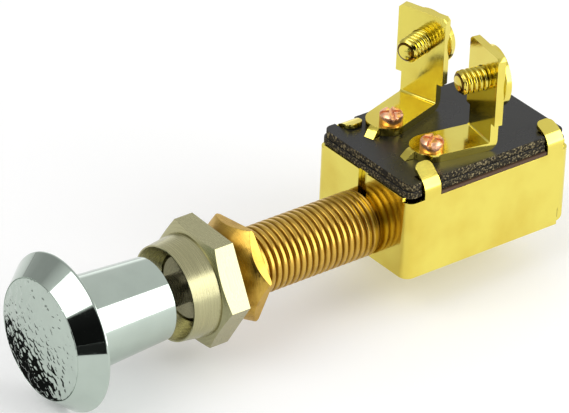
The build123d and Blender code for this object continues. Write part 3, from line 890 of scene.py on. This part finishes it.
class SWITCH_OT_screws(Operator):
    """Make the two terminal screws with threads and slotted heads"""

    bl_idname = "switch.screws"
    bl_label = "Terminal screws"

    def execute(self, context):
        settings = context.scene.switch_screw
        bright = bpy.data.materials["sheet_brass"]
        # A dark brass that paints shade into the screws' thread grooves and round their free ends
        wear_and_shade = nickel_finish("groove_shade_brass", context.scene.switch_finish.groove_shade_brass)
        for side in ("left", "right"):
            node = f"terminal_screw_{side}"
            name = f"{node}_cut"
            mount = mounts[f"screw_end_{side}"]
            mesh = self.screw(name, mount["dims"]["r_mm"], settings)
            mesh.transform(self.seat(mount, settings))
            link_piece(name, mesh, [bright, wear_and_shade], f"screw_{side}", node)
        return {"FINISHED"}

    def seat(self, mount, settings):
        """Place of a screw: its own Y runs from its free end to its head, zero on the upright."""
        along = -Vector(mount["axis"])
        turn = Matrix((along.cross(UP), along, UP)).transposed().to_4x4()
        origin = Vector(mount["pos_m"]) + along * settings.mount_reach * MM
        return Matrix.Translation(origin) @ turn

    def screw(self, name, crest, settings):
        """One screw in its own frame, in metres."""
        root = crest - settings.depth
        tip = -settings.reach
        base = settings.strip + settings.seat_gap
        edge = base + settings.head_edge
        segments = settings.segments
        start = tip + settings.tip_chamfer
        flat = root - settings.tip_ring
        bm = bmesh.new()
        # The chamfer round the free end takes the dark second material, a painted shade of its edge
        _, wear_and_shade = lathe(bm, [(flat, tip), (root, start)], segments)
        for face in wear_and_shade:
            face.material_index = 1
        lathe(bm, [(0, tip), (flat, tip)], segments)
        wind_thread(bm, SCREW_TURN, crest, start, base, settings)
        rise = settings.head_height - settings.head_edge
        dome = cap_points(settings.head_radius, edge, rise, settings.head_rings)
        head = rounded(
            [(root, base), (settings.head_radius, base), (settings.head_radius, edge)],
            settings.head_round,
        )
        lathe(bm, head + dome[::-1][1:], segments)
        mesh = finish_mesh(bm, name, sharp_angle=50, scale=MM)
        return self.slotted(mesh, base + settings.head_height, settings)

    def slotted(self, mesh, top, settings):
        """Cut the driver slot across the head."""
        bm = bmesh.new()
        half = Vector((settings.slot_width / 2, settings.slot_depth, 2 * settings.head_radius))
        middle = Vector((0, top, 0))
        block(bm, middle - half, middle + half)
        cutter = bpy.data.objects.new("slot_cutter", finish_mesh(bm, "slot_cutter"))
        body = bpy.data.objects.new("slot_body", mesh)
        for part in (cutter, body):
            bpy.context.scene.collection.objects.link(part)
        cut = body.modifiers.new("slot", "BOOLEAN")
        cut.object = cutter
        cut.operation = "DIFFERENCE"
        cut.solver = "EXACT"
        depsgraph = bpy.context.evaluated_depsgraph_get()
        result = bpy.data.meshes.new_from_object(body.evaluated_get(depsgraph))
        for part in (cutter, body):
            bpy.data.objects.remove(part)
        bpy.data.meshes.remove(mesh)
        if not result.polygons:
            raise RuntimeError("The driver slot left no screw")
        return result


class SWITCH_OT_rivets(Operator):
    """Finish the rivets and the contact bridge in copper"""

    bl_idname = "switch.rivets"
    bl_label = "Rivets and bridge"

    def execute(self, context):
        edges = context.scene.switch_edges
        copper = copper_finish(context.scene.switch_finish)
        dress(copper, "rivet_left", "rivet_right", "contact_bridge")
        soften(edges, edges.rivet, "rivet_left", "rivet_right")
        return {"FINISHED"}


class SWITCH_OT_plates(Operator):
    """Finish the fibre plates and the lining, and add brown strips that paint the shadow band under
    the plates
    """

    bl_idname = "switch.plates"
    bl_label = "Plates and lining"

    def execute(self, context):
        settings = context.scene.switch_case
        colours = context.scene.switch_finish
        edges = context.scene.switch_edges
        black = fibre_finish("board_fibre", colours.fibre, colours.fibre_cut, colours.fibre_speck)
        dress(black, "insulator_plate", "terminal_board")
        soften(edges, edges.plate, "insulator_plate", "terminal_board")
        grey = fibre_finish("liner_fibre", colours.liner, shaded(colours.liner, 0.8), colours.liner)
        dress(grey, "case_liner")
        # Brown strips in the slot between the case's walls and the plates, a painted shadow band
        mesh = block_pair(
            "shadow_band_strips",
            across=(settings.shadow_band_inner, settings.shadow_band_outer),
            along=(settings.shadow_band_front, settings.shadow_band_back),
            up=(settings.shadow_band_low, settings.shadow_band_high),
        )
        brown = paper_finish("shadow_band_paper", colours.packing).material
        link_piece("shadow_band_strips", mesh, [brown], "housing")
        return {"FINISHED"}


class SWITCH_OT_mechanism(Operator):
    """Finish the moving pieces inside, and wind the spring"""

    bl_idname = "switch.mechanism"
    bl_label = "Mechanism"

    def execute(self, context):
        colours = context.scene.switch_finish
        steel = steel_finish(colours)
        dress(steel, "shaft", "snap_ring", "bridge_stud", "retaining_clip")
        dress(moulding_finish(colours), "contact_carrier")
        low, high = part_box("contact_spring")
        mesh = self.coil(low, high, context.scene.switch_spring)
        spring = link_piece("spring_wound", mesh, [steel], "plunger", "contact_spring")
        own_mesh(spring)
        return {"FINISHED"}

    def coil(self, low, high, settings):
        """A coil of round wire that fills a box in metres."""
        wire = settings.wire * MM
        reach = (high.x - low.x) / 2 - wire
        rise = high.z - low.z - 2 * wire
        middle = (low + high) / 2
        foot = Vector((middle.x, middle.y, low.z + wire))
        total = settings.turns * settings.steps
        bm = bmesh.new()
        rings = []
        for step in range(total + 1):
            turn = 2 * pi * step / settings.steps
            out = Vector((cos(turn), sin(turn), 0))
            centre = foot + out * reach + UP * (rise * step / total)
            ring = []
            for side in range(settings.sides):
                lean = 2 * pi * side / settings.sides
                ring.append(bm.verts.new(centre + (out * cos(lean) + UP * sin(lean)) * wire))
            rings.append(ring)
        for first, second in zip(rings, rings[1:]):
            for side in range(settings.sides):
                after = (side + 1) % settings.sides
                bm.faces.new((first[side], first[after], second[after], second[side]))
        bm.faces.new(rings[0])
        bm.faces.new(rings[-1])
        return finish_mesh(bm, "spring_wound")


class SWITCH_OT_stage(Operator):
    """Set up the floor, the soft light and the camera"""

    bl_idname = "switch.stage"
    bl_label = "Stage"

    def execute(self, context):
        settings = context.scene.switch_stage
        context.scene.view_settings.view_transform = "Standard"
        floor_z = cad_low.z - settings.floor_gap * MM
        reach = settings.floor_reach
        floor = [(-reach, -reach), (reach, -reach), (reach, reach), (-reach, reach)]
        self.sheet("floor", floor, floor_z, self.floor_paper(settings))
        black = paper_finish("shade_paper", settings.shade, settings.shade_gloss).material
        # The black cards are painted shade: hidden from the camera, from light and from shadows,
        # they only darken the metal's reflections
        for name, corners in SHADE_CARDS.items():
            shade = self.sheet(name, corners, floor_z + settings.shade_lift * MM, black)
            shade.visible_camera = False
            shade.visible_diffuse = False
            shade.visible_shadow = False
        self.room(context.scene, settings)
        self.softbox("key", KEY_WAY, settings.key_power, distance=0.6, size=(0.46, 0.52))
        self.softbox("front", FRONT_WAY, settings.front_power, distance=0.7, size=(0.53, 0.28))
        self.camera(context.scene, settings)
        return {"FINISHED"}

    def floor_paper(self, settings):
        """White paper that the camera and the metal see a little brighter than it is lit."""
        finish = paper_finish("floor_paper", settings.floor)
        path = finish.add("ShaderNodeLightPath").outputs
        mirrored = finish.math("ADD", path["Is Glossy Ray"], path["Is Transmission Ray"])
        seen = finish.math("ADD", path["Is Camera Ray"], mirrored)
        finish.shader.inputs["Emission Color"].default_value = (1, 1, 1, 1)
        finish.join(
            finish.math("MULTIPLY", seen, settings.floor_lift),
            finish.shader.inputs["Emission Strength"],
        )
        return finish.material

    def sheet(self, name, corners, height, material):
        """A flat sheet that belongs to the stage."""
        bm = bmesh.new()
        bm.faces.new([bm.verts.new((x, y, height)) for x, y in corners])
        sheet = bpy.data.objects.new(name, finish_mesh(bm, name))
        sheet.data.materials.append(material)
        bpy.context.scene.collection.objects.link(sheet)
        return sheet

    def softbox(self, name, way, power, distance, size):
        """A rectangular lamp that faces the switch. Its measures are in metres."""
        lamp = bpy.data.lights.new(name, "AREA")
        lamp.shape = "RECTANGLE"
        lamp.size, lamp.size_y = size
        lamp.energy = power
        light = bpy.data.objects.new(name, lamp)
        toward = Vector(way).normalized()
        light.location = (cad_low + cad_high) / 2 + toward * distance
        light.rotation_euler = toward.to_track_quat("Z", "Y").to_euler()
        bpy.context.scene.collection.objects.link(light)

    def room(self, scene, settings):
        """A grey room with a bright backdrop low behind the switch and a dark side in front."""
        world = bpy.data.worlds.new("room")
        scene.world = world
        world.use_nodes = True
        room = Tree(world.node_tree)
        way = room.add("ShaderNodeTexCoord").outputs["Generated"]
        _, along, up = room.parts(way)
        walls = room.remap(along, span=(-0.2, 0.5), to=(settings.side_wall, settings.back_wall))
        low = room.remap(up, span=(0.26, 0.1), to=(0, settings.backdrop))
        glow = room.math("MULTIPLY", low, room.remap(along, span=(0.1, 0.5)))
        haze = room.spot(way, FRONT_WAY, edge=44, core=18, outside=0, inside=settings.front_haze)
        bright = room.math("ADD", walls, room.math("ADD", glow, haze))
        lit = room.spot(way, DARK_WAY, edge=27, core=24, outside=1, inside=settings.dark_side)
        light = world.node_tree.nodes["Background"]
        light.inputs["Color"].default_value = (1, 1, 1, 1)
        room.join(room.math("MULTIPLY", bright, lit), light.inputs["Strength"])

    def camera(self, scene, settings):
        """The camera at its place, turned, tipped down and rolled."""
        turn, dip, roll = settings.azimuth, settings.elevation, settings.roll
        ahead = Vector((-sin(turn) * cos(dip), cos(turn) * cos(dip), -sin(dip)))
        level = Vector((cos(turn), sin(turn), 0))
        upright = level.cross(ahead)
        right = level * cos(roll) + upright * sin(roll)
        up = upright * cos(roll) - level * sin(roll)
        data = bpy.data.cameras.new("camera")
        data.sensor_fit = "HORIZONTAL"
        data.sensor_width = settings.sensor
        data.lens = settings.lens
        data.clip_start = settings.nearest
        camera = bpy.data.objects.new("camera", data)
        axes = Matrix((right, up, -ahead)).transposed().to_4x4()
        camera.matrix_world = Matrix.Translation(Vector(settings.place)) @ axes
        scene.collection.objects.link(camera)
        scene.camera = camera


OPERATORS = (
    SWITCH_OT_knob,
    SWITCH_OT_bushing,
    SWITCH_OT_nuts,
    SWITCH_OT_case,
    SWITCH_OT_screws,
    SWITCH_OT_rivets,
    SWITCH_OT_plates,
    SWITCH_OT_mechanism,
    SWITCH_OT_stage,
)


class SWITCH_PT_sidebar(Panel):
    """Steps that dress the switch"""

    bl_label = "Push-pull switch"
    bl_idname = "SWITCH_PT_sidebar"
    bl_space_type = "VIEW_3D"
    bl_region_type = "UI"
    bl_category = "Switch"

    def draw(self, context):
        for operator in OPERATORS:
            self.layout.operator(operator.bl_idname)


SETTINGS = {
    "switch_knob": KnobSettings,
    "switch_bushing": BushingSettings,
    "switch_screw": ScrewSettings,
    "switch_case": CaseSettings,
    "switch_spring": SpringSettings,
    "switch_edges": EdgeSettings,
    "switch_finish": FinishSettings,
    "switch_stage": StageSettings,
}


def register():
    """Make the settings, the steps and the panel known to Blender."""
    for group in (*SETTINGS.values(), *OPERATORS, SWITCH_PT_sidebar):
        bpy.utils.register_class(group)
    for name, group in SETTINGS.items():
        setattr(bpy.types.Scene, name, PointerProperty(type=group))


def unregister():
    """Take the settings, the steps and the panel out again."""
    for name in SETTINGS:
        delattr(bpy.types.Scene, name)
    for group in (SWITCH_PT_sidebar, *OPERATORS[::-1], *SETTINGS.values()):
        bpy.utils.unregister_class(group)


def main():
    """Dress the switch step by step."""
    register()
    bpy.ops.switch.knob()
    bpy.ops.switch.bushing()
    bpy.ops.switch.nuts()
    bpy.ops.switch.case()
    bpy.ops.switch.screws()
    bpy.ops.switch.rivets()
    bpy.ops.switch.plates()
    bpy.ops.switch.mechanism()
    bpy.ops.switch.stage()


if __name__ == "__main__":
    main()
